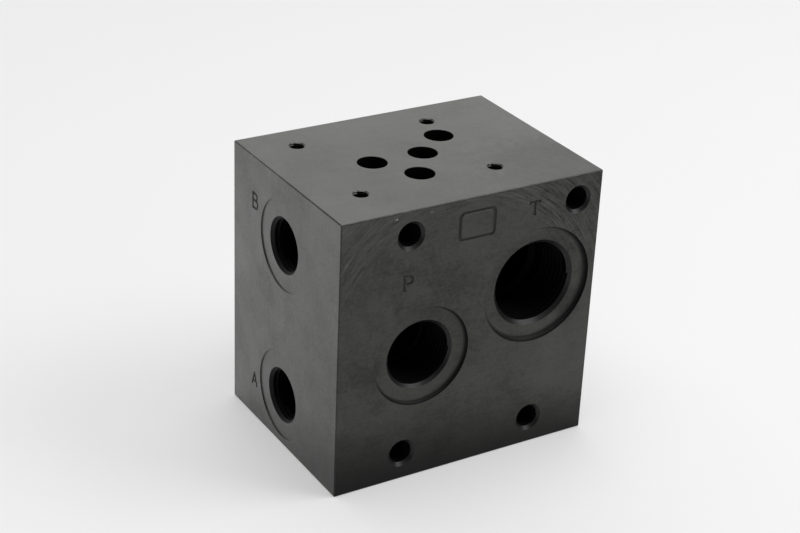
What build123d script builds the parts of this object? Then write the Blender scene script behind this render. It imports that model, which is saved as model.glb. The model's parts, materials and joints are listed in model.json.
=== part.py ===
from build123d import *
import os
from dataclasses import dataclass
from math import radians, tan

# Hydraulic manifold block for one size 10 directional valve, with the mounting pattern of ISO 4401-05.
#
# The block is one machined piece of ductile iron. What makes it work is the drillings inside: each port hole in
# the valve face runs down until it opens into the passage of its own pipe port, so nothing has to be plugged.
#
# Frame: millimetres, +Z up, origin at the centre of the base. The valve sits on the top face, the pressure and
# tank ports are in the front face (-Y) and the two working ports are in the left face (-X). Places on these
# three faces are measured from the front left edge and the base, or down from the valve face.

# Block
block_width = 105.0  # along X
block_depth = 79.0  # along Y
block_height = 105.0  # along Z
edge_break = 0.4  # 45 degree break on every outside edge

# Drilling
drill_point_angle = 118.0
tool_overshoot = 1.0  # how far above its face each tool starts
break_in = 1.0  # how far a drilling runs on past the one that it opens into

# Valve face: four M6 fixing holes, and four port holes measured from the first fixing hole
fixing_x = 18.0  # first fixing hole, from the left face
fixing_y = 19.0  # first fixing hole, from the front face
fixing_spacing_x = 54.0
fixing_spacing_y = 46.0
fixing_tap_diameter = 5.0
fixing_mouth_diameter = 6.2
fixing_depth = 17.0

valve_hole_diameter = 10.8
valve_hole_mouth_diameter = 11.0
valve_pressure_offset = (27.0, 6.3)
valve_near_offset = (16.7, 21.4)  # working port B
valve_far_offset = (37.3, 21.4)  # working port A
valve_tank_offset = (50.8, 32.5)

# Pressure and tank ports in the front face, each beside the valve hole that it serves
pressure_port_shift = 11.7  # port axis left of the valve's pressure hole
pressure_port_height = 48.2  # above the base
tank_port_shift = 11.2  # port axis right of the valve's tank hole
tank_port_drop = 39.8  # below the valve face

# Working ports in the left face, in line with the valve's two working holes
upper_port_drop = 25.0  # below the valve face
lower_port_height = 20.0  # above the base

# M10 mounting holes in the front face: an upper pair and a closer lower pair
mounting_x = 27.0  # left hole of both pairs, from the left face
mounting_upper_spacing = 68.0
mounting_lower_spacing = 54.0
mounting_upper_drop = 9.5  # below the valve face
mounting_lower_height = 10.5  # above the base
mounting_tap_diameter = 8.5
mounting_mouth_diameter = 10.8
mounting_depth = 20.0


@dataclass
class PipePort:
    """One ISO 228 port as its form tool leaves it. Depths are measured from the face of the block."""

    thread_diameter: float  # major diameter of the thread, where the lead-in starts
    tap_diameter: float  # minor diameter of the thread
    tap_depth: float
    spotface_diameter: float
    spotface_depth: float
    corner_radius: float  # round between the spotface's wall and floor
    passage_diameter: float


g_1_2 = PipePort(
    thread_diameter=20.96,
    tap_diameter=18.63,
    tap_depth=18.0,
    spotface_diameter=34.0,
    spotface_depth=0.5,
    corner_radius=0.3,
    passage_diameter=14.0,
)
g_3_4 = PipePort(
    thread_diameter=26.44,
    tap_diameter=24.12,
    tap_depth=19.0,
    spotface_diameter=38.0,
    spotface_depth=1.5,
    corner_radius=1.35,
    passage_diameter=22.0,
)
g_1 = PipePort(
    thread_diameter=33.25,
    tap_diameter=30.29,
    tap_depth=23.0,
    spotface_diameter=44.5,
    spotface_depth=2.0,
    corner_radius=1.85,
    passage_diameter=26.0,
)


def point_height(radius):
    """Height of the cone that a twist drill leaves under the full diameter of its hole."""
    return radius / tan(radians(drill_point_angle / 2))


def drilled_hole(diameter, depth, mouth_diameter):
    """What a drill and a 90 degree countersink remove, turned about Z with the mouth at Z = 0."""
    radius = diameter / 2
    mouth = mouth_diameter / 2
    with BuildPart() as tool:
        with BuildSketch(Plane.XZ):
            with BuildLine():
                Polyline(
                    (0, tool_overshoot),
                    (mouth + tool_overshoot, tool_overshoot),
                    (radius, radius - mouth),
                    (radius, -depth),
                    (0, -depth - point_height(radius)),
                    close=True,
                )
            make_face()
        revolve(axis=Axis.Z)
    return tool.part


def pipe_port(port, passage_depth):
    """What a port's form tool and passage drill remove, turned about Z with the mouth at Z = 0.

    From the face inwards: the spotface with its rounded corner, the 90 degree lead-in down to the thread's
    minor diameter, the stretch for the thread, the drill's shoulder, and the passage to the valve's hole.
    """
    spotface = port.spotface_diameter / 2
    floor = -port.spotface_depth
    thread = port.thread_diameter / 2
    tap = port.tap_diameter / 2
    passage = port.passage_diameter / 2
    with BuildPart() as tool:
        with BuildSketch(Plane.XZ):
            with BuildLine():
                wall = Line((spotface, tool_overshoot), (spotface, floor + port.corner_radius))
                corner = JernArc(start=wall @ 1, tangent=wall % 1, radius=port.corner_radius, arc_size=-90)
                Polyline(
                    corner @ 1,
                    (thread, floor),
                    (tap, floor - (thread - tap)),
                    (tap, -port.tap_depth),
                    (passage, -port.tap_depth - point_height(tap - passage)),
                    (passage, -passage_depth),
                    (0, -passage_depth - point_height(passage)),
                    (0, tool_overshoot),
                    wall @ 0,
                )
            make_face()
        revolve(axis=Axis.Z)
    return tool.part


# The three machined faces as planes at the front left edge. On the left face X runs forwards, so a place
# behind the edge is negative there.
front_left_foot = Vector(-block_width / 2, -block_depth / 2, 0)
front_face = Plane(origin=front_left_foot, x_dir=(1, 0, 0), z_dir=(0, -1, 0))
left_face = Plane(origin=front_left_foot, x_dir=(0, -1, 0), z_dir=(-1, 0, 0))
valve_face = Plane(origin=front_left_foot + Vector(0, 0, block_height), x_dir=(1, 0, 0), z_dir=(0, 0, 1))

# Places on the valve face
fixing_corner = Vector(fixing_x, fixing_y)
fixing_centre = fixing_corner + Vector(fixing_spacing_x, fixing_spacing_y) / 2
valve_pressure = fixing_corner + Vector(*valve_pressure_offset)
valve_near = fixing_corner + Vector(*valve_near_offset)
valve_far = fixing_corner + Vector(*valve_far_offset)
valve_tank = fixing_corner + Vector(*valve_tank_offset)

# Heights of the port axes above the base
tank_port_height = block_height - tank_port_drop
upper_port_height = block_height - upper_port_drop

# Each valve hole, with the height of the passage that it runs down to
valve_holes = (
    (valve_pressure, pressure_port_height),
    (valve_near, upper_port_height),
    (valve_far, lower_port_height),
    (valve_tank, tank_port_height),
)

# Each pipe port: its face, its place there, its size, and the far side of the valve hole that it opens into
valve_hole_radius = valve_hole_diameter / 2
pipe_ports = (
    (
        front_face,
        (valve_pressure.X - pressure_port_shift, pressure_port_height),
        g_3_4,
        valve_pressure.Y + valve_hole_radius,
    ),
    (
        front_face,
        (valve_tank.X + tank_port_shift, tank_port_height),
        g_1,
        valve_tank.Y + valve_hole_radius,
    ),
    (left_face, (-valve_near.Y, upper_port_height), g_1_2, valve_near.X + valve_hole_radius),
    (left_face, (-valve_far.Y, lower_port_height), g_1_2, valve_far.X + valve_hole_radius),
)

mounting_upper_height = block_height - mounting_upper_drop
mounting_holes = (
    (mounting_x, mounting_upper_height),
    (mounting_x + mounting_upper_spacing, mounting_upper_height),
    (mounting_x, mounting_lower_height),
    (mounting_x + mounting_lower_spacing, mounting_lower_height),
)

fixing_hole = drilled_hole(fixing_tap_diameter, fixing_depth, fixing_mouth_diameter)
mounting_hole = drilled_hole(mounting_tap_diameter, mounting_depth, mounting_mouth_diameter)

with BuildPart() as manifold_block:
    Box(block_width, block_depth, block_height, align=(Align.CENTER, Align.CENTER, Align.MIN))
    chamfer(manifold_block.edges(), edge_break)

    # Valve face: the fixing pattern, then the port holes down to their passages
    with Locations(valve_face):
        with Locations(fixing_centre):
            with GridLocations(fixing_spacing_x, fixing_spacing_y, 2, 2):
                add(fixing_hole, mode=Mode.SUBTRACT)
    for place, passage_height in valve_holes:
        hole_depth = block_height - passage_height + break_in
        valve_hole = drilled_hole(valve_hole_diameter, hole_depth, valve_hole_mouth_diameter)
        with Locations(valve_face):
            with Locations(place):
                add(valve_hole, mode=Mode.SUBTRACT)

    # Pipe ports, each drilled on until it has passed its valve hole
    for face, place, port, far_side in pipe_ports:
        form_tool = pipe_port(port, far_side + break_in)
        with Locations(face):
            with Locations(place):
                add(form_tool, mode=Mode.SUBTRACT)

    # Mounting holes
    with Locations(front_face):
        with Locations(*mounting_holes):
            add(mounting_hole, mode=Mode.SUBTRACT)

manifold_block.part.label = "manifold_block"

os.makedirs("parts", exist_ok=True)
export_step(manifold_block.part, "parts/manifold_block.step")
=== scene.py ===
"""Looks of a hydraulic manifold block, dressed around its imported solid.

The block is one machined piece of ductile iron with a black phosphate finish. Its outside, its drillings and
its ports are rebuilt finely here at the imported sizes, with the pipe threads, the tapped threads and the stamped
marks that the plain solid leaves out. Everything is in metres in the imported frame: +Z up, -Y out of the face
with the pressure and tank ports, -X out of the face with the working ports.
"""

from __future__ import annotations

import json
import logging
import math
from dataclasses import dataclass
from enum import Enum, IntEnum
from typing import Iterable, Sequence, Union

import bpy
from mathutils import Euler, Matrix, Vector

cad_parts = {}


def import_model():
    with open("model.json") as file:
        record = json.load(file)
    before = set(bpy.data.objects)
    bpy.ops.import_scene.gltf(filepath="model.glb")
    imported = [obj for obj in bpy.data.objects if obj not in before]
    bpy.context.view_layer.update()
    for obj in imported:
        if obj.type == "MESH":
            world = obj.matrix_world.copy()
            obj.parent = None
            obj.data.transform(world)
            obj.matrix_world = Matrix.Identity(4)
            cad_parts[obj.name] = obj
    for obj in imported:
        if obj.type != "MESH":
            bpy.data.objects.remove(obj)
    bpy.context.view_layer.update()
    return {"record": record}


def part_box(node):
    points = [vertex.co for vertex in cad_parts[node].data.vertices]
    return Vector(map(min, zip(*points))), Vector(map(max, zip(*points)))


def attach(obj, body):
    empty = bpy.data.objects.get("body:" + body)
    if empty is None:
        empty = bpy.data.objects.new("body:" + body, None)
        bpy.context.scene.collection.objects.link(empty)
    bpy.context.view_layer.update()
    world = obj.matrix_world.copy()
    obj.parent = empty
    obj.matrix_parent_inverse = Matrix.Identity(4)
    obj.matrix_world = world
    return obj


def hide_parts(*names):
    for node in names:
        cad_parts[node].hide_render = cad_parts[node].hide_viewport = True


logger = logging.getLogger("manifold_block")

Point = tuple[float, float]
Triple = tuple[float, float, float]
Colour = tuple[float, float, float, float]
Piece = bpy.types.Object
Socket = bpy.types.NodeSocket
SocketInput = Union[float, Sequence[float], Socket]
Inputs = dict[Union[str, int], SocketInput]

MM = 0.001
SMOOTH_ANGLE = math.radians(28.0)
DRILL_POINT_ANGLE = math.radians(118.0)
CLEARANCE_ABOVE_FACE = 1.0 * MM  # how far each cutter stands out of the face that it enters
MERGE_DISTANCE = 0.001 * MM  # points closer than this become one


# ---- Modelling helpers ----


def deselect_all() -> None:
    """Leave object mode with nothing selected."""
    if bpy.context.object and bpy.context.object.mode != "OBJECT":
        bpy.ops.object.mode_set(mode="OBJECT")
    bpy.ops.object.select_all(action="DESELECT")


def make_active(piece: Piece) -> None:
    """Select one object alone and make it active.

    Args:
        piece: The object to work on.
    """
    deselect_all()
    piece.select_set(True)
    bpy.context.view_layer.objects.active = piece


def apply_modifiers(piece: Piece) -> None:
    """Apply each modifier of an object, in order.

    Args:
        piece: The object whose modifiers become mesh.
    """
    make_active(piece)
    for modifier in list(piece.modifiers):
        bpy.ops.object.modifier_apply(modifier=modifier.name)


def settle_at_origin(piece: Piece) -> None:
    """Move an object's place, turn and size into its mesh.

    Args:
        piece: The object that ends at the origin.
    """
    make_active(piece)
    bpy.ops.object.transform_apply(location=True, rotation=True, scale=True)


def recalculate_normals(piece: Piece) -> None:
    """Merge doubled points and point every face outwards.

    Args:
        piece: A closed mesh object.
    """
    make_active(piece)
    bpy.ops.object.mode_set(mode="EDIT")
    bpy.ops.mesh.select_all(action="SELECT")
    bpy.ops.mesh.remove_doubles(threshold=MERGE_DISTANCE)
    bpy.ops.mesh.normals_make_consistent(inside=False)
    bpy.ops.object.mode_set(mode="OBJECT")


class Surface(IntEnum):
    """The block's surfaces, as the numbers of its material slots."""

    SKIN = 0
    ROUND = 1
    WALL = 2
    CONE = 3
    BORE = 4


SURFACE_TOLERANCE = 0.01 * MM
FLOOR_SLOPE = 0.97  # a normal nearer than this to the axis belongs to a flat floor
ROUND_SLOPE = 0.78  # and one further from it than this to a wall, or to the dark part of a rounded corner


def mark_surfaces(
    cutter: Piece, wall_top: float, cone_top: float, cone_foot: float, cone: Surface = Surface.CONE
) -> None:
    """Mark which of the block's surfaces each face of a cutter leaves. Flat floors keep the skin.

    Args:
        cutter: A cutter at the origin with its axis on Z.
        wall_top: Height where a spotface's dark wall starts.
        cone_top: Height where the lead-in or countersink starts.
        cone_foot: Height where it ends and the bore's wall starts.
        cone: The surface from cone_top to cone_foot.
    """
    for face in cutter.data.polygons:
        height = face.center.z + SURFACE_TOLERANCE
        slope = abs(face.normal.z)
        if height < cone_foot:
            face.material_index = Surface.BORE
        elif height < cone_top:
            face.material_index = cone
        elif height < wall_top and slope < FLOOR_SLOPE:
            face.material_index = Surface.WALL if slope < ROUND_SLOPE else Surface.ROUND


def subtract(body: Piece, cutter: Piece) -> None:
    """Cut one closed mesh out of another and delete the cutter.

    Args:
        body: The mesh that loses material, with a material for each surface.
        cutter: The closed mesh to take away, whose faces are numbered by surface.
    """
    for material in body.data.materials:
        cutter.data.materials.append(material)
    modifier = body.modifiers.new("cut", "BOOLEAN")
    modifier.operation = "DIFFERENCE"
    modifier.solver = "MANIFOLD"
    modifier.object = cutter
    apply_modifiers(body)
    bpy.data.objects.remove(cutter, do_unlink=True)


def smooth_round_faces(piece: Piece) -> None:
    """Shade the round faces smooth, and keep the large flat ones flat up to their edges.

    Args:
        piece: A mesh object.
    """
    make_active(piece)
    bpy.ops.object.shade_smooth_by_angle(angle=SMOOTH_ANGLE)
    weighted = piece.modifiers.new("flat_faces", "WEIGHTED_NORMAL")
    weighted.mode = "FACE_AREA"
    weighted.weight = 100
    weighted.keep_sharp = True
    apply_modifiers(piece)


@dataclass(frozen=True)
class Ring:
    """One circle of a turned form: its radius, and its height on the form's own axis."""

    radius: float
    height: float


def turned_form(name: str, rings: Sequence[Ring], segments: int) -> Piece:
    """Extrude and scale a circle ring by ring into a closed turned form, with its axis on Z.

    Args:
        name: Name of the new object.
        rings: The form's circles, from its top down. A last radius of zero is a point.
        segments: Facets round the axis.

    Returns:
        The closed mesh object, at the origin.
    """
    deselect_all()
    first = rings[0]
    bpy.ops.mesh.primitive_circle_add(
        vertices=segments, radius=first.radius, fill_type="NGON", location=(0.0, 0.0, first.height)
    )
    form = bpy.context.object
    form.name = name
    settle_at_origin(form)
    bpy.ops.object.mode_set(mode="EDIT")
    bpy.ops.mesh.select_all(action="SELECT")
    for upper, lower in zip(rings, rings[1:]):
        drop = (0.0, 0.0, lower.height - upper.height)
        bpy.ops.mesh.extrude_region_move(TRANSFORM_OT_translate={"value": drop})
        if lower.radius == 0.0:
            bpy.ops.mesh.merge(type="CENTER")
            break
        share = lower.radius / upper.radius
        bpy.ops.transform.resize(value=(share, share, 1.0), center_override=(0.0, 0.0, lower.height))
    bpy.ops.object.mode_set(mode="OBJECT")
    recalculate_normals(form)
    return form


def place_on_axis(form: Piece, point: Vector, outwards: Vector) -> None:
    """Move a form from its own axis onto a hole's axis, with its height zero on the face.

    Args:
        form: The form, at the origin with its axis on Z.
        point: Where the hole's axis meets the face.
        outwards: The face's direction.
    """
    form.matrix_world = Matrix.Translation(point) @ outwards.to_track_quat("Z", "Y").to_matrix().to_4x4()
    settle_at_origin(form)


# ---- Threads and holes ----


@dataclass(frozen=True)
class Thread:
    """An internal thread, as the tap leaves it, between a minor and a major radius."""

    major_radius: float
    minor_radius: float
    pitch: float
    length: float
    start: float  # height of the first turn's middle
    segments: int

    mouth_share: float = 0.84  # width of the groove at the minor radius, as a share of the pitch
    root_share: float = 0.16  # width of the groove at the major radius, as a share of the pitch
    reach_inwards: float = 0.35 * MM  # how far the cutter stands into the open hole

    def cutter(self, name: str) -> Piece:
        """Wind a trapezium round the hole's axis into a closed coil.

        Args:
            name: Name of the new object.

        Returns:
            The coil, at the origin with its axis on Z.
        """
        inner = self.minor_radius - self.reach_inwards
        lower_side = (
            (inner, -self.mouth_share / 2),
            (self.minor_radius, -self.mouth_share / 2),
            (self.major_radius, -self.root_share / 2),
        )
        points = (*lower_side, *((radius, -share) for radius, share in reversed(lower_side)))
        deselect_all()
        bpy.ops.mesh.primitive_circle_add(vertices=len(points), radius=self.pitch, fill_type="NOTHING")
        coil = bpy.context.object
        coil.name = name
        foot = self.start - self.length
        for vertex, (radius, share) in zip(coil.data.vertices, points):
            vertex.co = (radius, 0.0, foot + share * self.pitch)
        turns = coil.modifiers.new("turns", "SCREW")
        turns.axis = "Z"
        turns.angle = math.tau
        turns.screw_offset = self.pitch
        turns.iterations = max(int(self.length / self.pitch), 1)
        turns.steps = self.segments
        turns.render_steps = self.segments
        turns.use_merge_vertices = True
        apply_modifiers(coil)
        bpy.ops.object.mode_set(mode="EDIT")
        bpy.ops.mesh.select_all(action="SELECT")
        bpy.ops.mesh.fill_holes(sides=len(points))
        bpy.ops.object.mode_set(mode="OBJECT")
        recalculate_normals(coil)
        return coil


@dataclass(frozen=True)
class Hole:
    """A drilled hole with a countersunk mouth, and the thread in it where it has one."""

    name: str
    mouth: Vector  # where its axis meets the face
    outwards: Vector
    radius: float
    depth: float
    mouth_radius: float
    segments: int
    thread: Thread | None = None

    rim_break: float = 0.05 * MM
    bright_depth: float = 0.0  # how far down its surfaces are as bright as the skin

    def rings(self) -> list[Ring]:
        """The drill's and the countersink's form.

        Returns:
            The rings from above the face to the drill's point.
        """
        countersink = self.mouth_radius - self.radius
        return [
            Ring(self.mouth_radius + self.rim_break, CLEARANCE_ABOVE_FACE),
            Ring(self.mouth_radius + self.rim_break, 0.0),
            Ring(self.mouth_radius, -self.rim_break / 2),
            Ring(self.radius, -countersink - self.rim_break / 2),
            Ring(self.radius, -self.depth),
            Ring(0.0, -self.depth - self.radius / math.tan(DRILL_POINT_ANGLE / 2)),
        ]

    def cutters(self) -> list[Piece]:
        """What the drill and the tap take away, in their places.

        Returns:
            The closed mesh objects to subtract, in order.
        """
        made = [turned_form(self.name, self.rings(), self.segments)]
        if self.thread:
            made.append(self.thread.cutter(f"{self.name}_thread"))
        cone_top = -max(self.bright_depth, self.rim_break / 2)
        cone_foot = min(cone_top, self.radius - self.mouth_radius - self.rim_break / 2)
        for form in made:
            mark_surfaces(form, cone_top, cone_top, cone_foot)
            place_on_axis(form, self.mouth, self.outwards)
        return made


@dataclass(frozen=True)
class Tapping:
    """The tools of a tapped hole: its tap, the depth of the tap drill and the width of the countersink."""

    thread: Thread
    depth: float
    mouth_radius: float
    bright_depth: float = 0.0

    def hole(self, name: str, mouth: Vector, outwards: Vector) -> Hole:
        """One hole made with these tools."""
        sizes = (self.thread.minor_radius, self.depth, self.mouth_radius, self.thread.segments)
        return Hole(name, mouth, outwards, *sizes, self.thread, bright_depth=self.bright_depth)


@dataclass(frozen=True)
class PortForm:
    """The form tool and tap of one port size, with the finish that they leave. Depths start at the face."""

    major_radius: float
    pitch: float
    thread_length: float
    bore_depth: float
    spotface_radius: float
    spotface_depth: float
    corner_radius: float  # round between the spotface's wall and floor
    passage_radius: float
    dark_wall: bool = True
    lead_in: Surface = Surface.CONE
    unshaded_depth: float = 0.0  # how far below the lead-in the thread keeps the lead-in's surface, before the bore's painted shade starts


class PortSize(Enum):
    """The ports by their ISO 228 thread."""

    G_1_2 = PortForm(
        major_radius=10.48 * MM,
        pitch=1.814 * MM,
        thread_length=14.0 * MM,
        bore_depth=18.0 * MM,
        spotface_radius=17.0 * MM,
        spotface_depth=0.4 * MM,
        corner_radius=0.2 * MM,
        passage_radius=7.0 * MM,
        dark_wall=False,
        lead_in=Surface.WALL,
        unshaded_depth=3.0 * MM,
    )
    G_3_4 = PortForm(
        major_radius=13.22 * MM,
        pitch=1.814 * MM,
        thread_length=16.0 * MM,
        bore_depth=19.0 * MM,
        spotface_radius=19.0 * MM,
        spotface_depth=1.5 * MM,
        corner_radius=1.35 * MM,
        passage_radius=11.0 * MM,
    )
    G_1 = PortForm(
        major_radius=16.625 * MM,
        pitch=2.309 * MM,
        thread_length=18.0 * MM,
        bore_depth=23.0 * MM,
        spotface_radius=22.25 * MM,
        spotface_depth=2.0 * MM,
        corner_radius=1.85 * MM,
        passage_radius=13.0 * MM,
    )


@dataclass(frozen=True)
class PipePort:
    """A pipe port: spotface, lead-in, threaded bore, drill shoulder and the passage to its valve hole."""

    name: str
    mouth: Vector
    outwards: Vector
    size: PortSize
    minor_radius: float
    passage_depth: float

    segments: int = 128
    corner_steps: int = 8
    rim_break: float = 0.03 * MM

    def corner(self) -> list[Ring]:
        """The quarter round between the spotface's wall and its floor.

        Returns:
            The rings from the wall down to the floor.
        """
        form = self.size.value
        rings = []
        for step in range(self.corner_steps + 1):
            turn = math.pi / 2 * step / self.corner_steps
            inwards = form.corner_radius * (1 - math.cos(turn))
            upwards = form.corner_radius * (1 - math.sin(turn))
            rings.append(Ring(form.spotface_radius - inwards, -form.spotface_depth + upwards))
        return rings

    def rings(self) -> list[Ring]:
        """The form tool's and the passage drill's form.

        Returns:
            The rings from above the face to the passage's end.
        """
        form = self.size.value
        floor = -form.spotface_depth
        shoulder = (self.minor_radius - form.passage_radius) / math.tan(DRILL_POINT_ANGLE / 2)
        point = form.passage_radius / math.tan(DRILL_POINT_ANGLE / 2)
        return [
            Ring(form.spotface_radius + self.rim_break, CLEARANCE_ABOVE_FACE),
            Ring(form.spotface_radius + self.rim_break, 0.0),
            Ring(form.spotface_radius, -self.rim_break),
            *self.corner(),
            Ring(form.major_radius, floor),
            Ring(self.minor_radius, floor - (form.major_radius - self.minor_radius)),
            Ring(self.minor_radius, -form.bore_depth),
            Ring(form.passage_radius, -form.bore_depth - shoulder),
            Ring(form.passage_radius, -self.passage_depth),
            Ring(0.0, -self.passage_depth - point),
        ]

    def cutters(self) -> list[Piece]:
        """What the form tool, the passage drill and the tap take away, in their places.

        Returns:
            The closed mesh objects to subtract, in order.
        """
        form = self.size.value
        floor = -form.spotface_depth
        sizes = (form.major_radius, self.minor_radius, form.pitch, form.thread_length)
        thread = Thread(*sizes, start=floor, segments=self.segments)
        wall_top = 0.0 if form.dark_wall else floor
        lead_in_foot = floor - (form.major_radius - self.minor_radius)
        made = [turned_form(self.name, self.rings(), self.segments), thread.cutter(f"{self.name}_thread")]
        for cutter in made:
            mark_surfaces(cutter, wall_top, floor, lead_in_foot - form.unshaded_depth, form.lead_in)
            place_on_axis(cutter, self.mouth, self.outwards)
        return made


# ---- Stamped marks ----


class Face(Enum):
    """A machined face that carries marks: the direction across it, and the direction out of it."""

    FRONT = ((1.0, 0.0, 0.0), (0.0, -1.0, 0.0))
    LEFT = ((0.0, -1.0, 0.0), (-1.0, 0.0, 0.0))

    def place(self, origin: Vector) -> Matrix:
        """Matrix from a mark's plane (X across, Y up, Z out of the metal) to its place.

        Args:
            origin: Where the mark's own origin goes.

        Returns:
            The matrix to give the mark's object.
        """
        across, outwards = (Vector(direction) for direction in self.value)
        turned = Matrix((across, Vector((0.0, 0.0, 1.0)), outwards)).transposed().to_4x4()
        return Matrix.Translation(origin) @ turned


def arc_points(centre: Point, radius: float, start: float, end: float, steps: int) -> list[Point]:
    """Points along a circular arc, in a mark's plane.

    Args:
        centre: The arc's centre.
        radius: Its radius.
        start: Its first angle, in degrees.
        end: Its last angle, in degrees.
        steps: Straight runs in the arc.

    Returns:
        The points from the first angle to the last.
    """
    angles = (math.radians(start + (end - start) * step / steps) for step in range(steps + 1))
    return [(centre[0] + radius * math.cos(a), centre[1] + radius * math.sin(a)) for a in angles]


def letter_strokes(letter: str) -> list[list[Point]]:
    """The strokes of a port letter, one unit high, from its lower left corner.

    Args:
        letter: P, T, A or B, the usual letters for pressure, tank and the two working ports.

    Returns:
        One list of points for each stroke.
    """
    bowl_steps = 8
    strokes = {
        "P": [
            [(0.0, 0.0), (0.0, 1.0)],
            [(-0.06, 1.0), *arc_points((0.36, 0.73), 0.27, 90, -90, bowl_steps), (-0.04, 0.46)],
            [(-0.13, 0.0), (0.13, 0.0)],
        ],
        "T": [
            [(-0.1, 0.84), (-0.1, 1.0), (0.7, 1.0), (0.7, 0.84)],
            [(0.3, 1.04), (0.3, 0.0)],
            [(0.17, 0.0), (0.43, 0.0)],
        ],
        "A": [[(0.0, 0.0), (0.34, 1.0)], [(0.3, 1.0), (0.68, 0.0)], [(0.1, 0.35), (0.58, 0.35)]],
        "B": [
            [(0.0, -0.03), (0.0, 1.03)],
            [(-0.06, 1.0), *arc_points((0.34, 0.77), 0.23, 90, -90, bowl_steps), (-0.04, 0.54)],
            [(0.3, 0.54), *arc_points((0.38, 0.27), 0.27, 90, -90, bowl_steps), (-0.06, 0.0)],
        ],
    }
    return strokes[letter]


def rounded_frame(width: float, corner: float) -> list[list[Point]]:
    """One closed stroke round an upright rectangle with round corners, one unit high.

    Args:
        width: The rectangle's width.
        corner: Radius of its corners.

    Returns:
        A list with the one stroke.
    """
    right, top, steps = width - corner, 1.0 - corner, 5
    corners = {90: (right, top), 0: (right, corner), -90: (corner, corner), 180: (corner, top)}
    stroke = []
    for start, centre in corners.items():
        stroke += arc_points(centre, corner, start, start - 90, steps)
    return [[*stroke, stroke[0]]]


@dataclass(frozen=True)
class StampedMark:
    """Round-bottomed grooves that a stamp leaves in a face."""

    name: str
    face: Face
    origin: Vector  # the mark's lower left corner
    height: float
    strokes: Sequence[Sequence[Point]]
    closed: bool = False

    groove_radius: float = 0.55 * MM
    groove_lift: float = 0.22 * MM  # how far the groove's centre stands out of the face
    groove_sides: int = 10

    def rod(self, name: str, stroke: Sequence[Point]) -> Piece:
        """Draw one stroke as edges, and turn it into a closed round rod in its place.

        Args:
            name: Name of the new object.
            stroke: The stroke's points, for a mark one unit high.

        Returns:
            The closed mesh object to subtract.
        """
        deselect_all()
        bpy.ops.mesh.primitive_plane_add(size=self.height)
        rod = bpy.context.object
        rod.name = name
        bpy.ops.object.mode_set(mode="EDIT")
        bpy.ops.mesh.merge(type="CENTER")
        bpy.ops.transform.translate(value=Vector((*stroke[0], 0.0)) * self.height)
        for first, second in zip(stroke, stroke[1:]):
            step = (Vector((*second, 0.0)) - Vector((*first, 0.0))) * self.height
            bpy.ops.mesh.extrude_region_move(TRANSFORM_OT_translate={"value": step})
        if self.closed:
            bpy.ops.mesh.select_all(action="SELECT")
            bpy.ops.mesh.remove_doubles(threshold=SURFACE_TOLERANCE)
        bpy.ops.object.mode_set(mode="OBJECT")
        bpy.ops.object.convert(target="CURVE")
        rod.data.bevel_depth = self.groove_radius
        rod.data.bevel_resolution = self.groove_sides // 2 - 1
        rod.data.use_fill_caps = True
        bpy.ops.object.convert(target="MESH")
        lift = Vector(self.face.value[1]) * self.groove_lift
        rod.matrix_world = self.face.place(self.origin + lift)
        settle_at_origin(rod)
        recalculate_normals(rod)
        for side in rod.data.polygons:
            side.material_index = Surface.ROUND
        return rod

    def cutters(self) -> list[Piece]:
        """One rod for each stroke, in its place."""
        return [self.rod(f"{self.name}_{number}", stroke) for number, stroke in enumerate(self.strokes)]


# ---- Shader helpers and shared effects ----


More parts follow.
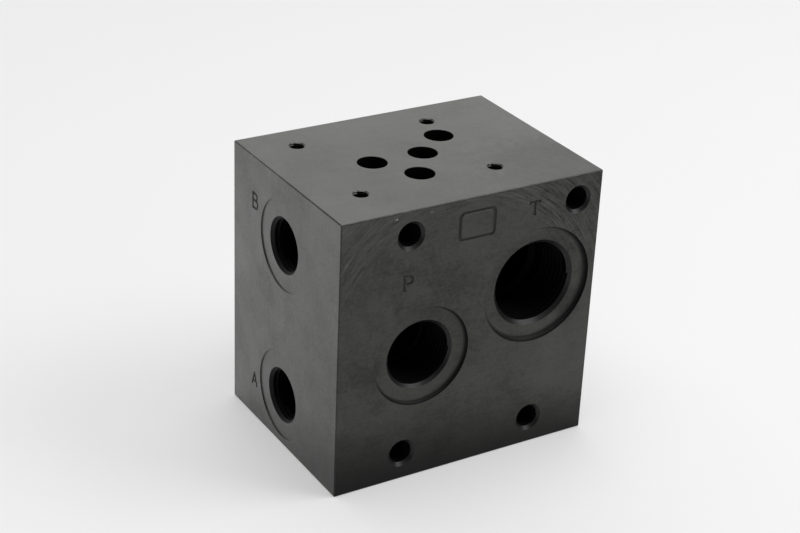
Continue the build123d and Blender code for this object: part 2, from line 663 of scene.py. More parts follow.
class Nodes:
    """Adds and links shader nodes in one tree, each a column to the right of the last."""

    def __init__(self, tree: bpy.types.NodeTree) -> None:
        """Start in an emptied node tree: a material's, a world's or a group's."""
        self.tree = tree
        self.tree.nodes.clear()

    def add(self, kind: str, inputs: Inputs | None = None, **settings: object) -> bpy.types.Node:
        """Add one node.

        Args:
            kind: The node's type name.
            inputs: Sockets by name or number, each with a value or with the output socket to link.
            settings: The node's own properties.

        Returns:
            The new node.
        """
        node = self.tree.nodes.new(kind)
        node.location.x = 200.0 * len(self.tree.nodes)
        for name, value in settings.items():
            setattr(node, name, value)
        for key, value in (inputs or {}).items():
            if isinstance(value, Socket):
                self.tree.links.new(value, node.inputs[key])
            else:
                node.inputs[key].default_value = value
        return node

    def math(self, operation: str, *values: SocketInput, clamp: bool = False) -> Socket:
        """Add a Math node to numbers or sockets, and give the socket of its result."""
        node = self.add("ShaderNodeMath", dict(enumerate(values)), operation=operation, use_clamp=clamp)
        return node.outputs[0]

    def total(self, *values: SocketInput) -> Socket:
        """Add values up.

        Args:
            values: Two or more numbers or sockets.

        Returns:
            The sum's socket.
        """
        result = values[0]
        for value in values[1:]:
            result = self.math("ADD", result, value)
        return result

    def vector_math(self, operation: str, *values: SocketInput) -> bpy.types.Node:
        """Add a Vector Math node to vectors or sockets."""
        return self.add("ShaderNodeVectorMath", dict(enumerate(values)), operation=operation)

    def ramp(
        self, value: Socket, low: SocketInput, high: SocketInput, to_low: SocketInput = 0.0, to_high: float = 1.0
    ) -> Socket:
        """Map a value smoothly from the range of low and high to another, without going past its ends."""
        inputs = {"Value": value, "From Min": low, "From Max": high, "To Min": to_low, "To Max": to_high}
        return self.add("ShaderNodeMapRange", inputs, interpolation_type="SMOOTHSTEP").outputs["Result"]

    def mix_colour(self, share: SocketInput, first: SocketInput, second: SocketInput) -> Socket:
        """Mix two colours through the node's colour sockets; the share is how much of the second shows."""
        node = self.add("ShaderNodeMix", {0: share, 6: first, 7: second}, data_type="RGBA")
        return node.outputs[2]

    def noise(self, place: SocketInput, scale: float, contrast: SocketInput) -> Socket:
        """Add a noise that swings around zero.

        Args:
            place: Where to look it up.
            scale: Its scale.
            contrast: How far it swings.

        Returns:
            The noise's socket, mostly between minus and plus a quarter of the contrast.
        """
        inputs = {"Vector": place, "Scale": scale, "Detail": 2.0, "Roughness": 0.6}
        value = self.add("ShaderNodeTexNoise", inputs).outputs[0]
        return self.math("MULTIPLY", self.math("SUBTRACT", value, 0.5), contrast)


def open_group(name: str, inputs: dict[str, float | Triple]) -> tuple[Nodes, bpy.types.bpy_prop_collection]:
    """Start a shader node group, looked up at a Vector.

    Args:
        name: The group's name.
        inputs: Each further input's name and default: a number, or three numbers for a vector.

    Returns:
        The group's nodes, and its input sockets by name.
    """
    tree = bpy.data.node_groups.new(name, "ShaderNodeTree")
    nodes = Nodes(tree)
    for label, default in {"Vector": (0.0, 0.0, 0.0), **inputs}.items():
        kind = "NodeSocketFloat" if isinstance(default, float) else "NodeSocketVector"
        socket = tree.interface.new_socket(name=label, in_out="INPUT", socket_type=kind)
        socket.default_value = default
    return nodes, nodes.add("NodeGroupInput").outputs


def close_group(nodes: Nodes, output: str, result: Socket) -> bpy.types.NodeTree:
    """Finish a shader node group with its one output.

    Args:
        nodes: The group's nodes.
        output: The output's name.
        result: The socket that it puts out.

    Returns:
        The group.
    """
    nodes.tree.interface.new_socket(name=output, in_out="OUTPUT", socket_type="NodeSocketFloat")
    nodes.add("NodeGroupOutput", {output: result})
    return nodes.tree


def mottle_group() -> bpy.types.NodeTree:
    """Uneven finish, as a phosphate bath leaves, made of wide, middling and fine patches.

    Returns:
        The group, which puts out a factor around 1.
    """
    scales = {"Wide": 50.0, "Middling": 190.0, "Fine": 900.0}
    nodes, entry = open_group("mottle", {**dict.fromkeys(scales, 0.5), "Shift": 0.0})
    place = nodes.vector_math("ADD", entry["Vector"], entry["Shift"]).outputs[0]
    patches = [nodes.noise(place, scale, entry[label]) for label, scale in scales.items()]
    return close_group(nodes, "Factor", nodes.total(*patches, 1.0))


def streak_group() -> bpy.types.NodeTree:
    """Fine parallel tool marks, which change fast across them and slowly along them.

    Returns:
        The group, which puts out a height around 0.
    """
    nodes, entry = open_group("tool_streaks", {"Frequency": (400.0, 400.0, 20.0), "Contrast": 1.0})
    stretched = nodes.vector_math("MULTIPLY", entry["Vector"], entry["Frequency"]).outputs[0]
    return close_group(nodes, "Height", nodes.noise(stretched, 1.0, entry["Contrast"]))


def arc_group() -> bpy.types.NodeTree:
    """Face-milling arcs on a face across Y, with a few sharp lines, faded within a radius.

    Returns:
        The group, which puts out a height around 0.
    """
    line_height = 0.13  # above which an arc is a sharp line
    fade = 1.25  # times the clear radius, where the arcs are full
    pattern = {"Rings": 900.0, "Sweep": 3.0, "Contrast": 1.0, "Lines": 0.0}
    nodes, entry = open_group("milling_arcs", {"Centre": (0.0, 0.0, 0.0), **pattern, "Clear Radius": 0.04})
    offset = nodes.vector_math("SUBTRACT", entry["Vector"], entry["Centre"]).outputs[0]
    flat = nodes.vector_math("MULTIPLY", offset, (1.0, 0.0, 1.0)).outputs[0]
    radius = nodes.vector_math("LENGTH", flat).outputs[1]
    x, _, z = nodes.add("ShaderNodeSeparateXYZ", {0: flat}).outputs
    turns = nodes.math("MULTIPLY", nodes.math("ARCTAN2", z, x), entry["Sweep"])
    polar = nodes.add("ShaderNodeCombineXYZ", {0: nodes.math("MULTIPLY", radius, entry["Rings"]), 1: turns})
    height = nodes.noise(polar.outputs[0], 1.0, entry["Contrast"])
    sharp = nodes.math("MAXIMUM", nodes.math("SUBTRACT", height, line_height), 0.0)
    height = nodes.total(height, nodes.math("MULTIPLY", sharp, entry["Lines"]))
    shown = nodes.ramp(radius, entry["Clear Radius"], nodes.math("MULTIPLY", entry["Clear Radius"], fade))
    return close_group(nodes, "Height", nodes.math("MULTIPLY", height, shown))


def edge_group() -> bpy.types.NodeTree:
    """A block's broken edges, a little uneven in width.

    Returns:
        The group, which puts out a mask of 1 on the edge that fades away from it.
    """
    nodes, entry = open_group(
        "block_edges", {"Centre": (0.0, 0.0, 0.0), "Half Size": (0.05, 0.05, 0.05), "Width": 0.001}
    )
    offset = nodes.vector_math("SUBTRACT", entry["Vector"], entry["Centre"]).outputs[0]
    distance = nodes.vector_math("ABSOLUTE", offset).outputs[0]
    depth = nodes.vector_math("SUBTRACT", entry["Half Size"], distance)
    x, y, z = nodes.add("ShaderNodeSeparateXYZ", {0: depth.outputs[0]}).outputs
    nearer = nodes.math("MINIMUM", x, y)
    further = nodes.math("MAXIMUM", x, y)
    to_edge = nodes.math("MAXIMUM", nearer, nodes.math("MINIMUM", further, z))
    uneven = nodes.total(nodes.noise(entry["Vector"], scale=350.0, contrast=1.2), 1.0)
    share = nodes.math("DIVIDE", to_edge, nodes.math("MULTIPLY", entry["Width"], uneven))
    return close_group(nodes, "Mask", nodes.math("SUBTRACT", 1.0, share, clamp=True))


def spot_group() -> bpy.types.NodeTree:
    """One soft round spot with a more or less ragged edge.

    Returns:
        The group, which puts out a mask of 1 in the middle.
    """
    full_share = 0.35  # of the radius, within which the mask is 1
    nodes, entry = open_group("spot", {"Centre": (0.0, 0.0, 0.0), "Radius": 0.005, "Ragged": 0.5})
    offset = nodes.vector_math("SUBTRACT", entry["Vector"], entry["Centre"]).outputs[0]
    distance = nodes.vector_math("LENGTH", offset).outputs[1]
    ragged = nodes.total(nodes.noise(entry["Vector"], 260.0, entry["Ragged"]), 1.0)
    share = nodes.math("DIVIDE", distance, nodes.math("MULTIPLY", entry["Radius"], ragged))
    return close_group(nodes, "Mask", nodes.ramp(share, full_share, 1.0, 1.0, 0.0))


class Effects:
    """The shared node groups, each built once."""

    def __init__(self) -> None:
        """Build every group."""
        self.mottle = mottle_group()
        self.streaks = streak_group()
        self.arcs = arc_group()
        self.edges = edge_group()
        self.spot = spot_group()


class MaterialNodes(Nodes):
    """The nodes of a new material, with the place on its object at hand."""

    def __init__(self, name: str) -> None:
        """Start a material.

        Args:
            name: The material's name.
        """
        self.material = bpy.data.materials.new(name)
        self.material.use_nodes = True
        super().__init__(self.material.node_tree)
        self.coordinates = self.add("ShaderNodeTexCoord")
        self.place = self.coordinates.outputs["Object"]

    def effect(self, group: bpy.types.NodeTree, inputs: Inputs) -> Socket:
        """Add a shared effect at the place on the object, and give its output."""
        return self.add("ShaderNodeGroup", {"Vector": self.place, **inputs}, node_tree=group).outputs[0]

    def surface(self, inputs: Inputs) -> bpy.types.Material:
        """Finish the material with a Principled shader.

        Args:
            inputs: The shader's sockets by name, each with a value or with the output socket to link.

        Returns:
            The material.
        """
        shader = self.add("ShaderNodeBsdfPrincipled", inputs)
        self.add("ShaderNodeOutputMaterial", {"Surface": shader.outputs[0]})
        return self.material


# ---- Finishes ----


@dataclass(frozen=True)
class Spot:
    """One spot of the finish, or of painted light or shade: where it is, how wide, and how much it changes the
    finish there.
    """

    centre: Triple
    radius: float
    strength: float


@dataclass(frozen=True)
class BlackPhosphate:
    """Black phosphate over machined iron: satin and uneven, with painted shade along its edges and towards its
    foot, and painted light and shade in spots.
    """

    centre: Vector
    half_size: Vector

    name: str = "black_phosphate"
    colour: Colour = (0.0240, 0.0245, 0.0198, 1.0)
    bare: Colour = (0.45, 0.45, 0.43, 1.0)
    black: Colour = (0.0, 0.0, 0.0, 1.0)
    roughness: float = 0.36
    roughness_loss: float = 0.05  # where the finish is lighter
    refraction: float = 1.55
    under_gloss: float = 0.15  # of the phosphate itself; the oil film over it gives the rest
    film_cover: float = 0.69
    film_refraction: float = 1.68
    film_roughness: float = 0.31
    relief: float = 0.02 * MM
    relief_strength: float = 0.25

    facing: float = 0.9  # cosine of the angle within which a surface belongs to the front or the top
    front_share: float = 0.52  # of the oil film that the face-milled front keeps
    foot_shade_lean: Triple = (0.07, 0.35, 1.0)  # direction along which the painted shade at the foot fades
    foot_shade_height: float = 37.0 * MM
    foot_shade_share: float = 0.42  # of the finish's lightness that its foot keeps under the painted shade, and less on the front
    front_foot_shade_share: float = 0.05
    edge_width: float = 0.6 * MM
    edge_shade: float = 0.75  # painted shade on the broken edges: the share of the finish's lightness that it takes away

    mottle: float = 0.85  # strength of the patches, with more of it on the front and less on the top
    front_mottle: float = 0.15
    top_mottle: float = -0.40
    mottle_contrasts: tuple[tuple[str, float], ...] = (("Wide", 0.90), ("Middling", 0.40), ("Fine", 0.80))
    streaks: tuple[Triple, float] = ((60.0, 1500.0, 50.0), 0.26)  # frequency along each axis, and contrast
    front_grains: tuple[tuple[Triple, float], ...] = (
        ((170.0, 50.0, 1300.0), 0.50),
        ((70.0, 50.0, 330.0), 0.40),
    )
    arc_centre: Triple = (-0.005, 0.0, 0.054)
    arc_radius: float = 44.0 * MM  # within it the milling arcs have faded
    arc_heights: tuple[float, float] = (50.0 * MM, 95.0 * MM)  # where they start and where they are full
    arcs: tuple[tuple[tuple[str, float], ...], ...] = (
        (("Rings", 1500.0), ("Sweep", 5.0), ("Contrast", 1.9), ("Lines", 3.0)),
        (("Rings", 450.0), ("Sweep", 2.5), ("Contrast", 1.5)),
    )

    # dark spots: patches of the finish itself, and painted shade, such as the dark patch at the right front of
    # the top
    smudges_and_shade: tuple[Spot, ...] = (
        Spot((-0.0420, -0.0395, 0.0450), 0.0085, 0.20),
        Spot((-0.0360, -0.0395, 0.0325), 0.0050, 0.20),
        Spot((-0.0295, -0.0395, 0.0690), 0.0040, 0.14),
        Spot((-0.0145, -0.0395, 0.0740), 0.0055, 0.12),
        Spot((0.0455, -0.0395, 0.0350), 0.0045, 0.12),
        Spot((-0.0075, -0.0395, 0.0090), 0.0060, 0.16),
        Spot((-0.0150, -0.0395, 0.0660), 0.0300, 0.20),
        Spot((-0.0410, -0.0395, 0.0780), 0.0200, 0.13),
        Spot((0.0400, -0.0300, 0.1050), 0.0380, 0.20),
        Spot((-0.0525, 0.0200, 0.0620), 0.0060, 0.08),
        Spot((-0.0525, 0.0100, 0.0570), 0.0070, 0.10),
        Spot((-0.0525, 0.0260, 0.0480), 0.0100, 0.08),
    )
    # painted shade on the tank port's spotface floor, round its lead-in
    painted_port_shade: tuple[Spot, ...] = (
        Spot((0.0275, -0.0375, 0.0652), 0.0225, 0.50),
        Spot((0.0425, -0.0375, 0.0547), 0.0085, 0.32),
        Spot((0.0445, -0.0375, 0.0690), 0.0090, 0.18),
    )
    # painted light: lighter patches at the left front of the top and in places on the front, mostly at its lower
    # right
    painted_sheens: tuple[Spot, ...] = (
        Spot((-0.0500, -0.0330, 0.1050), 0.0240, 0.14),
        Spot((-0.0370, -0.0395, 0.0950), 0.0200, 0.03),
        Spot((0.0440, -0.0395, 0.0300), 0.0230, 0.29),
        Spot((0.0180, -0.0395, 0.0970), 0.0120, 0.12),
    )
    dings: tuple[Spot, ...] = (
        Spot((-0.0314, -0.0395, 0.1028), 0.00045, 0.8),
        Spot((-0.0321, -0.0395, 0.1027), 0.00035, 0.3),
        Spot((-0.0180, -0.0395, 0.1029), 0.00040, 0.35),
    )

    @staticmethod
    def spots(effects: Effects, nodes: MaterialNodes, spots: Iterable[Spot], ragged: float) -> Socket:
        """Add a number of spots together.

        Args:
            effects: The shared node groups.
            nodes: The material's nodes.
            spots: The spots.
            ragged: How ragged their edges are.

        Returns:
            The socket of their summed strengths.
        """
        masks = []
        for spot in spots:
            inputs = {"Centre": spot.centre, "Radius": spot.radius, "Ragged": ragged}
            masks.append(nodes.math("MULTIPLY", nodes.effect(effects.spot, inputs), spot.strength))
        return nodes.total(*masks)

    def shade(
        self, effects: Effects, nodes: MaterialNodes, on_front: Socket, on_top: Socket
    ) -> Socket:
        """How light the finish is from place to place, with painted light and shade in spots.

        Args:
            effects: The shared node groups.
            nodes: The material's nodes.
            on_front: The socket that is 1 on the front face.
            on_top: The socket that is 1 on the valve face.

        Returns:
            The socket of a factor around 1.
        """
        on_front_mottle = nodes.math("MULTIPLY", on_front, self.front_mottle)
        on_top_mottle = nodes.math("MULTIPLY", on_top, self.top_mottle)
        strength = nodes.total(on_front_mottle, self.mottle, on_top_mottle)
        contrasts = {
            label: nodes.math("MULTIPLY", strength, contrast) for label, contrast in self.mottle_contrasts
        }
        mottle = nodes.effect(effects.mottle, contrasts)
        streaks, *grains = (
            nodes.effect(effects.streaks, {"Frequency": frequency, "Contrast": contrast})
            for frequency, contrast in (self.streaks, *self.front_grains)
        )
        common = {"Centre": self.arc_centre, "Clear Radius": self.arc_radius}
        arcs = nodes.total(*(nodes.effect(effects.arcs, {**common, **dict(arc)}) for arc in self.arcs))
        height = nodes.add("ShaderNodeSeparateXYZ", {0: nodes.place}).outputs[2]
        arcs = nodes.math("MULTIPLY", arcs, nodes.ramp(height, *self.arc_heights))
        milled = nodes.math("MULTIPLY", nodes.total(arcs, *grains), on_front)

        shade = nodes.total(mottle, streaks, milled)
        shade = nodes.math("SUBTRACT", shade, self.spots(effects, nodes, self.smudges_and_shade, ragged=1.6))
        shade = nodes.math("SUBTRACT", shade, self.spots(effects, nodes, self.painted_port_shade, ragged=0.2))
        return nodes.total(shade, self.spots(effects, nodes, self.painted_sheens, ragged=1.0))

    def build(self, effects: Effects) -> bpy.types.Material:
        """Make the material.

        Args:
            effects: The shared node groups.

        Returns:
            The material.
        """
        nodes = MaterialNodes(self.name)
        normal = nodes.coordinates.outputs["Normal"]
        _, facing_y, facing_z = nodes.add("ShaderNodeSeparateXYZ", {0: normal}).outputs
        on_front = nodes.math("LESS_THAN", facing_y, -self.facing)
        on_top = nodes.math("GREATER_THAN", facing_z, self.facing)
        shade = self.shade(effects, nodes, on_front, on_top)

        # painted shade towards the foot: the finish and its film darken towards the floor, more on the front
        along = nodes.vector_math("DOT_PRODUCT", nodes.place, self.foot_shade_lean).outputs[1]
        start = (self.centre - self.half_size).dot(Vector(self.foot_shade_lean))
        darker_front = nodes.math("MULTIPLY", on_front, self.front_foot_shade_share - self.foot_shade_share)
        foot_shade_share = nodes.total(darker_front, self.foot_shade_share)
        foot = nodes.ramp(along, start, start + self.foot_shade_height, foot_shade_share, 1.0)
        edge = nodes.effect(
            effects.edges, {"Centre": self.centre, "Half Size": self.half_size, "Width": self.edge_width}
        )
        bare = self.spots(effects, nodes, self.dings, ragged=0.3)

        share = nodes.math("MULTIPLY", shade, foot)
        # painted shade along the broken edges
        edge_shade = nodes.math("MULTIPLY", edge, self.edge_shade)
        share = nodes.math("MULTIPLY", share, nodes.math("SUBTRACT", 1.0, edge_shade))
        colour = nodes.mix_colour(share, self.black, self.colour)
        colour = nodes.mix_colour(bare, colour, self.bare)
        front_loss = nodes.math("MULTIPLY", on_front, 1.0 - self.front_share)
        film = nodes.math("MULTIPLY", share, nodes.math("SUBTRACT", 1.0, front_loss))
        film = nodes.math("MULTIPLY", film, self.film_cover, clamp=True)
        roughness = nodes.total(self.roughness, nodes.math("MULTIPLY", shade, -self.roughness_loss))
        relief = {"Height": shade, "Strength": self.relief_strength, "Distance": self.relief}
        bump = nodes.add("ShaderNodeBump", relief)
        return nodes.surface(
            {
                "Base Color": colour,
                "Roughness": roughness,
                "IOR": self.refraction,
                "Specular IOR Level": self.under_gloss,
                "Coat Weight": film,
                "Coat Roughness": self.film_roughness,
                "Coat IOR": self.film_refraction,
                "Normal": bump.outputs[0],
            }
        )


@dataclass(frozen=True)
class DarkCut:
    """The dark finish of a cut surface: a round or stamped mark, a spotface's wall, a cone or a bore. Its
    darkness is partly painted shade of the recess that the surface lies in.
    """

    name: str
    colour: Colour
    roughness: float
    gloss: float
    mottle: tuple[tuple[str, float], ...] = (("Wide", 0.2), ("Middling", 0.3), ("Fine", 0.3), ("Shift", 0.3))

    def build(self, effects: Effects) -> bpy.types.Material:
        """Make the material.

        Args:
            effects: The shared node groups.

        Returns:
            The material.
        """
        nodes = MaterialNodes(self.name)
        roughness = nodes.math("MULTIPLY", nodes.effect(effects.mottle, dict(self.mottle)), self.roughness)
        inputs = {"Base Color": self.colour, "Roughness": roughness, "Specular IOR Level": self.gloss}
        return nodes.surface(inputs)


# ---- The block ----


def mount_point(record: dict, name: str) -> tuple[Vector, Vector, float]:
    """Place, direction and radius of one of the record's round mounts.

    Args:
        record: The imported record.
        name: The mount's name.

    Returns:
        A point on its axis, the direction out of the metal, and its radius in metres.
    """
    mount = next(mount for mount in record["mounts"] if mount["name"] == name)
    return Vector(mount["pos_m"]), Vector(mount["axis"]), mount["dims"].get("r_mm", 0.0) * MM


@dataclass
class ManifoldBlock:
    """The machined block with its holes, ports, threads and stamped marks."""

    low: Vector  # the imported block's corners
    high: Vector
    record: dict

    name: str = "phosphated_block"
    edge_break: float = 0.4 * MM
    edge_facets: int = 3
    edge_roundness: float = 0.35

    fixing_spacing: Point = (54.0 * MM, 46.0 * MM)
    fixing: Tapping = Tapping(
        thread=Thread(3.0 * MM, 2.5 * MM, pitch=1.0 * MM, length=13.0 * MM, start=-0.3 * MM, segments=48),
        depth=17.0 * MM,
        mouth_radius=3.1 * MM,
        bright_depth=0.8 * MM,
    )

    valve_mouth_radius: float = 5.5 * MM
    valve_segments: int = 72
    break_in: float = 1.0 * MM  # how far a drilling runs on past the one that it opens into

    mounting_heights: Point = (95.5 * MM, 10.5 * MM)
    mounting_spacings: Point = (68.0 * MM, 54.0 * MM)
    mounting_left: float = 27.0 * MM  # from the left face
    mounting: Tapping = Tapping(
        thread=Thread(5.0 * MM, 4.25 * MM, pitch=1.5 * MM, length=16.0 * MM, start=-0.5 * MM, segments=56),
        depth=20.0 * MM,
        mouth_radius=5.4 * MM,
    )

    letters: tuple[tuple[str, Face, float, float, float], ...] = (  # letter, face, across, up, height
        ("P", Face.FRONT, 25.0 * MM, 75.4 * MM, 5.2 * MM),
        ("T", Face.FRONT, 75.2 * MM, 93.4 * MM, 5.0 * MM),
        ("B", Face.LEFT, 15.4 * MM, 85.4 * MM, 5.6 * MM),
        ("A", Face.LEFT, 15.4 * MM, 13.2 * MM, 5.6 * MM),
    )
    frame_place: Point = (46.2 * MM, 89.6 * MM)  # across and up, on the front face
    frame_height: float = 10.0 * MM
    frame_width: float = 1.40  # times its height
    frame_corner: float = 0.16
    frame_groove_radius: float = 0.85 * MM
    frame_groove_lift: float = 0.50 * MM

    cuts: tuple[DarkCut, ...] = (  # in the order of Surface, from ROUND; darker than the skin, partly painted shade of the recesses
        DarkCut("rounded_cut", (0.0090, 0.0094, 0.0078, 1.0), roughness=0.42, gloss=0.32),
        DarkCut("spotface_wall", (0.0065, 0.0067, 0.0065, 1.0), roughness=0.50, gloss=0.14),
        DarkCut("cut_cone", (0.0050, 0.0050, 0.0050, 1.0), roughness=0.40, gloss=0.31),
        DarkCut("bore_painted_shade", (0.0030, 0.0030, 0.0028, 1.0), roughness=0.45, gloss=0.03),
    )

    def on_face(self, point: Vector, outwards: Vector) -> Vector:
        """Slide a point along a face's direction until it lies in that face.

        Args:
            point: A point on a hole's axis.
            outwards: The face's direction, along an axis of the frame.

        Returns:
            The point in the face.
        """
        axis = max(range(3), key=lambda number: abs(outwards[number]))
        on_face = point.copy()
        on_face[axis] = self.high[axis] if outwards[axis] > 0 else self.low[axis]
        return on_face

    def body(self) -> Piece:
        """The block with its broken edges, before anything is drilled.

        Returns:
            The closed mesh object.
        """
        deselect_all()
        centre, size = (self.low + self.high) / 2, self.high - self.low
        bpy.ops.mesh.primitive_cube_add(size=1.0, location=centre, scale=size)
        body = bpy.context.object
        body.name = self.name
        settle_at_origin(body)
        bevel = body.modifiers.new("broken_edges", "BEVEL")
        bevel.width = self.edge_break
        bevel.segments = self.edge_facets
        bevel.profile = self.edge_roundness
        apply_modifiers(body)
        return body

    def ports(self) -> list[PipePort]:
        """The pressure, tank and two working ports, each drilled on until it has passed its valve hole.

        Returns:
            The ports, in the order in which they are cut.
        """
        sizes = {
            "pressure_port": (PortSize.G_3_4, "valve_pressure"),
            "tank_port": (PortSize.G_1, "valve_tank"),
            "working_port_upper": (PortSize.G_1_2, "valve_working_near"),
            "working_port_lower": (PortSize.G_1_2, "valve_working_far"),
        }
        ports = []
        for name, (size, valve_hole) in sizes.items():
            point, outwards, minor_radius = mount_point(self.record, name)
            served, _, valve_radius = mount_point(self.record, valve_hole)
            mouth = self.on_face(point, outwards)
            passage_depth = mouth.dot(outwards) - served.dot(outwards) + (valve_radius + self.break_in)
            ports.append(PipePort(name, mouth, outwards, size, minor_radius, passage_depth))
        return ports

    def valve_holes(self) -> list[Hole]:
        """The four port holes of the valve face, each down to the axis of its own passage.

        Returns:
            The holes, in the order in which they are cut.
        """
        serves = {
            "valve_pressure": "pressure_port",
            "valve_working_near": "working_port_upper",
            "valve_working_far": "working_port_lower",
            "valve_tank": "tank_port",
        }
        holes = []
        for name, port in serves.items():
            point, outwards, radius = mount_point(self.record, name)
            passage, _, _ = mount_point(self.record, port)
            depth = self.high.z - passage.z + self.break_in
            mouth = self.on_face(point, outwards)
            sizes = (radius, depth, self.valve_mouth_radius, self.valve_segments)
            holes.append(Hole(name, mouth, outwards, *sizes))
        return holes

    def fixing_holes(self) -> list[Hole]:
        """The four tapped fixing holes of the valve face.

        Returns:
            The holes, in the order in which they are cut.
        """
        centre, outwards, _ = mount_point(self.record, "valve_fixing")
        spacing_x, spacing_y = self.fixing_spacing
        shifts = [Vector((x * spacing_x, y * spacing_y, 0.0)) for x in (-0.5, 0.5) for y in (-0.5, 0.5)]
        return [
            self.fixing.hole(f"fixing_{number}", self.on_face(centre + shift, outwards), outwards)
            for number, shift in enumerate(shifts)
        ]

    def mounting_holes(self) -> list[Hole]:
        """The four tapped mounting holes of the front face.

        Returns:
            The holes, in the order in which they are cut.
        """
        outwards = Vector((0.0, -1.0, 0.0))
        holes = []
        for height, spacing in zip(self.mounting_heights, self.mounting_spacings):
            for shift in (0.0, spacing):
                mouth = Vector((self.low.x + self.mounting_left + shift, self.low.y, self.low.z + height))
                holes.append(self.mounting.hole(f"mounting_{len(holes)}", mouth, outwards))
        return holes

    def marks(self) -> list[StampedMark]:
        """The port letters, and the plain stamped frame between the upper mounting holes.

        Returns:
            The marks, in the order in which they are cut.
        """
        corners = {Face.FRONT: self.low, Face.LEFT: Vector((self.low.x, self.high.y, self.low.z))}
        marks = []
        for letter, face, across, up, height in self.letters:
            place = corners[face] + Vector(face.value[0]) * across + Vector((0.0, 0.0, up))
            marks.append(StampedMark(f"letter_{letter}", face, place, height, letter_strokes(letter)))
        across, up = self.frame_place
        marks.append(
            StampedMark(
                "plain_frame",
                Face.FRONT,
                self.low + Vector((across, 0.0, up)),
                self.frame_height,
                rounded_frame(self.frame_width, self.frame_corner),
                closed=True,
                groove_radius=self.frame_groove_radius,
                groove_lift=self.frame_groove_lift,
            )
        )
        return marks

    def build(self, effects: Effects) -> Piece:
        """Drill, tap and stamp the block, and dress it.

        Args:
            effects: The shared node groups.

        Returns:
            The finished piece.
        """
        body = self.body()
        skin = BlackPhosphate(centre=(self.low + self.high) / 2, half_size=(self.high - self.low) / 2)
        for finish in (skin, *self.cuts):
            body.data.materials.append(finish.build(effects))
        holes = (*self.valve_holes(), *self.fixing_holes(), *self.ports(), *self.mounting_holes())
        for feature in (*holes, *self.marks()):
            for cutter in feature.cutters():
                subtract(body, cutter)
            logger.info("%s: %d faces", feature.name, len(body.data.polygons))
        recalculate_normals(body)
        smooth_round_faces(body)
        return body


# ---- Studio ----


@dataclass(frozen=True)
class SoftLight:
    """A square soft light aimed at the block."""

    name: str
    offset: Triple  # of its place from the middle of the block
    size: float  # of its square face, in metres
    power: float  # in watts

    def build(self, target: Vector) -> None:
        """Add the light.

        Args:
            target: The middle of the block, at which it shines.
        """
        deselect_all()
        place = target + Vector(self.offset)
        turn = (place - target).to_track_quat("Z", "Y").to_euler()
        bpy.ops.object.light_add(type="AREA", location=place, rotation=turn)
        light = bpy.context.object
        light.name = self.name
        light.data.shape = "SQUARE"
        light.data.size = self.size
        light.data.energy = self.power


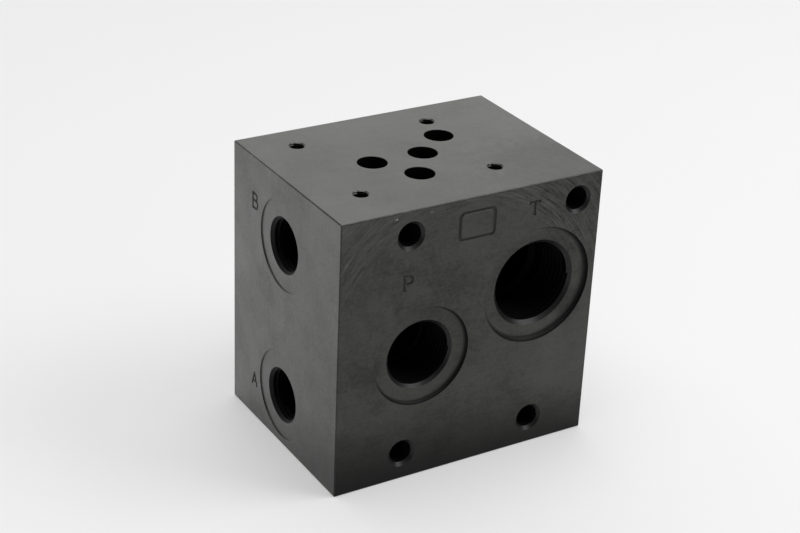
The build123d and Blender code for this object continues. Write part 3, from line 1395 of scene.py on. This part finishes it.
@dataclass(frozen=True)
class Studio:
    """A plain pale floor under soft light, and the camera."""

    target: Vector

    lens_mm: float = 82.28
    sensor_mm: float = 36.0
    eye: Triple = (-0.31698, -0.50392, 0.35821)
    azimuth: float = math.radians(31.753)  # of the camera, from the front towards the left
    elevation: float = math.radians(26.561)
    roll: float = math.radians(2.516)
    clip: Point = (0.01, 50.0)  # nearest and furthest that the camera sees, in metres

    floor_half_size: float = 4.0
    floor_colour: Colour = (0.585, 0.585, 0.585, 1.0)
    floor_shade: float = 0.97  # of its colour, in its darker patches
    floor_roughness: float = 0.7
    floor_gloss: float = 0.2
    floor_glow: float = 0.27  # glow of the floor as camera and glossy rays see it, which lightens it and keeps the shadow soft
    far_glow: float = 0.55
    glow_start: float = 0.45  # metres from the block
    glow_end: float = 2.5
    sky_dim: float = 0.22  # radiance of the surroundings on the camera's side
    sky_bright: float = 1.15  # and on the bright side, behind the block
    bright_side: Triple = (0.302, 0.905, 0.302)
    sky_turn: Point = (0.15, 0.9)  # cosines to the bright side, between which the sky brightens

    soft_lights: tuple[SoftLight, ...] = (
        SoftLight("light_above", (-0.2, -0.1, 2.2), size=1.8, power=27.0),
        SoftLight("light_right", (1.02, -0.64, 1.12), size=0.95, power=11.5),
    )

    def camera(self) -> None:
        """Add the camera at its viewing angle."""
        deselect_all()
        level = Euler((math.pi / 2 - self.elevation, 0.0, -self.azimuth), "XYZ").to_matrix()
        turned = level @ Matrix.Rotation(self.roll, 3, "Z")
        bpy.ops.object.camera_add(location=self.eye, rotation=turned.to_euler())
        camera = bpy.context.object
        camera.name = "camera"
        camera.data.lens = self.lens_mm
        camera.data.sensor_width = self.sensor_mm
        camera.data.clip_start, camera.data.clip_end = self.clip
        bpy.context.scene.camera = camera

    def floor_material(self) -> bpy.types.Material:
        """Pale and a little uneven. Only what is seen of it glows, so that it lights nothing.

        Returns:
            The material.
        """
        nodes = MaterialNodes("pale_floor")
        noise = nodes.add("ShaderNodeTexNoise", {"Vector": nodes.place, "Scale": 3.0, "Detail": 2.0})
        darker = (*(self.floor_shade * value for value in self.floor_colour[:3]), 1.0)
        away = nodes.vector_math("LENGTH", nodes.place).outputs[1]
        glow = nodes.ramp(away, self.glow_start, self.glow_end, self.floor_glow, self.far_glow)
        rays = nodes.add("ShaderNodeLightPath").outputs
        seen = nodes.math("MAXIMUM", rays["Is Camera Ray"], rays["Is Glossy Ray"])
        seen = nodes.math("MAXIMUM", seen, rays["Is Transmission Ray"])
        return nodes.surface(
            {
                "Base Color": nodes.mix_colour(noise.outputs[0], darker, self.floor_colour),
                "Roughness": self.floor_roughness,
                "Specular IOR Level": self.floor_gloss,
                "Emission Color": (1.0, 1.0, 1.0, 1.0),
                "Emission Strength": nodes.math("MULTIPLY", seen, glow),
            }
        )

    def floor(self) -> None:
        """Add the pale floor that the block stands on."""
        deselect_all()
        bpy.ops.mesh.primitive_plane_add(size=2 * self.floor_half_size)
        floor = bpy.context.object
        floor.name = "studio_floor"
        floor.data.materials.append(self.floor_material())

    def sky(self) -> None:
        """Give the world soft light, dimmer behind the camera than behind the block."""
        world = bpy.data.worlds.new("studio_sky")
        bpy.context.scene.world = world
        world.use_nodes = True
        nodes = Nodes(world.node_tree)
        direction = nodes.add("ShaderNodeTexCoord").outputs["Generated"]
        ahead = nodes.vector_math("DOT_PRODUCT", direction, self.bright_side).outputs[1]
        strength = nodes.ramp(ahead, *self.sky_turn, self.sky_dim, self.sky_bright)
        background = nodes.add("ShaderNodeBackground", {"Strength": strength})
        nodes.add("ShaderNodeOutputWorld", {"Surface": background.outputs[0]})

    def build(self) -> None:
        """Set up the whole studio."""
        self.camera()
        self.floor()
        self.sky()
        for light in self.soft_lights:
            light.build(self.target)
        bpy.context.scene.view_settings.view_transform = "Standard"


def main() -> None:
    """Load the frame, build the block around it, and set up the studio."""
    logging.basicConfig(level=logging.INFO, format="%(name)s: %(message)s")
    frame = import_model()

    low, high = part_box("manifold_block")
    block = ManifoldBlock(low, high, frame["record"]).build(Effects())
    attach(block, "root")
    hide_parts("manifold_block")
    logger.info("%s: %d faces, dressed", block.name, len(block.data.polygons))

    Studio(target=(low + high) / 2).build()


if __name__ == "__main__":
    main()
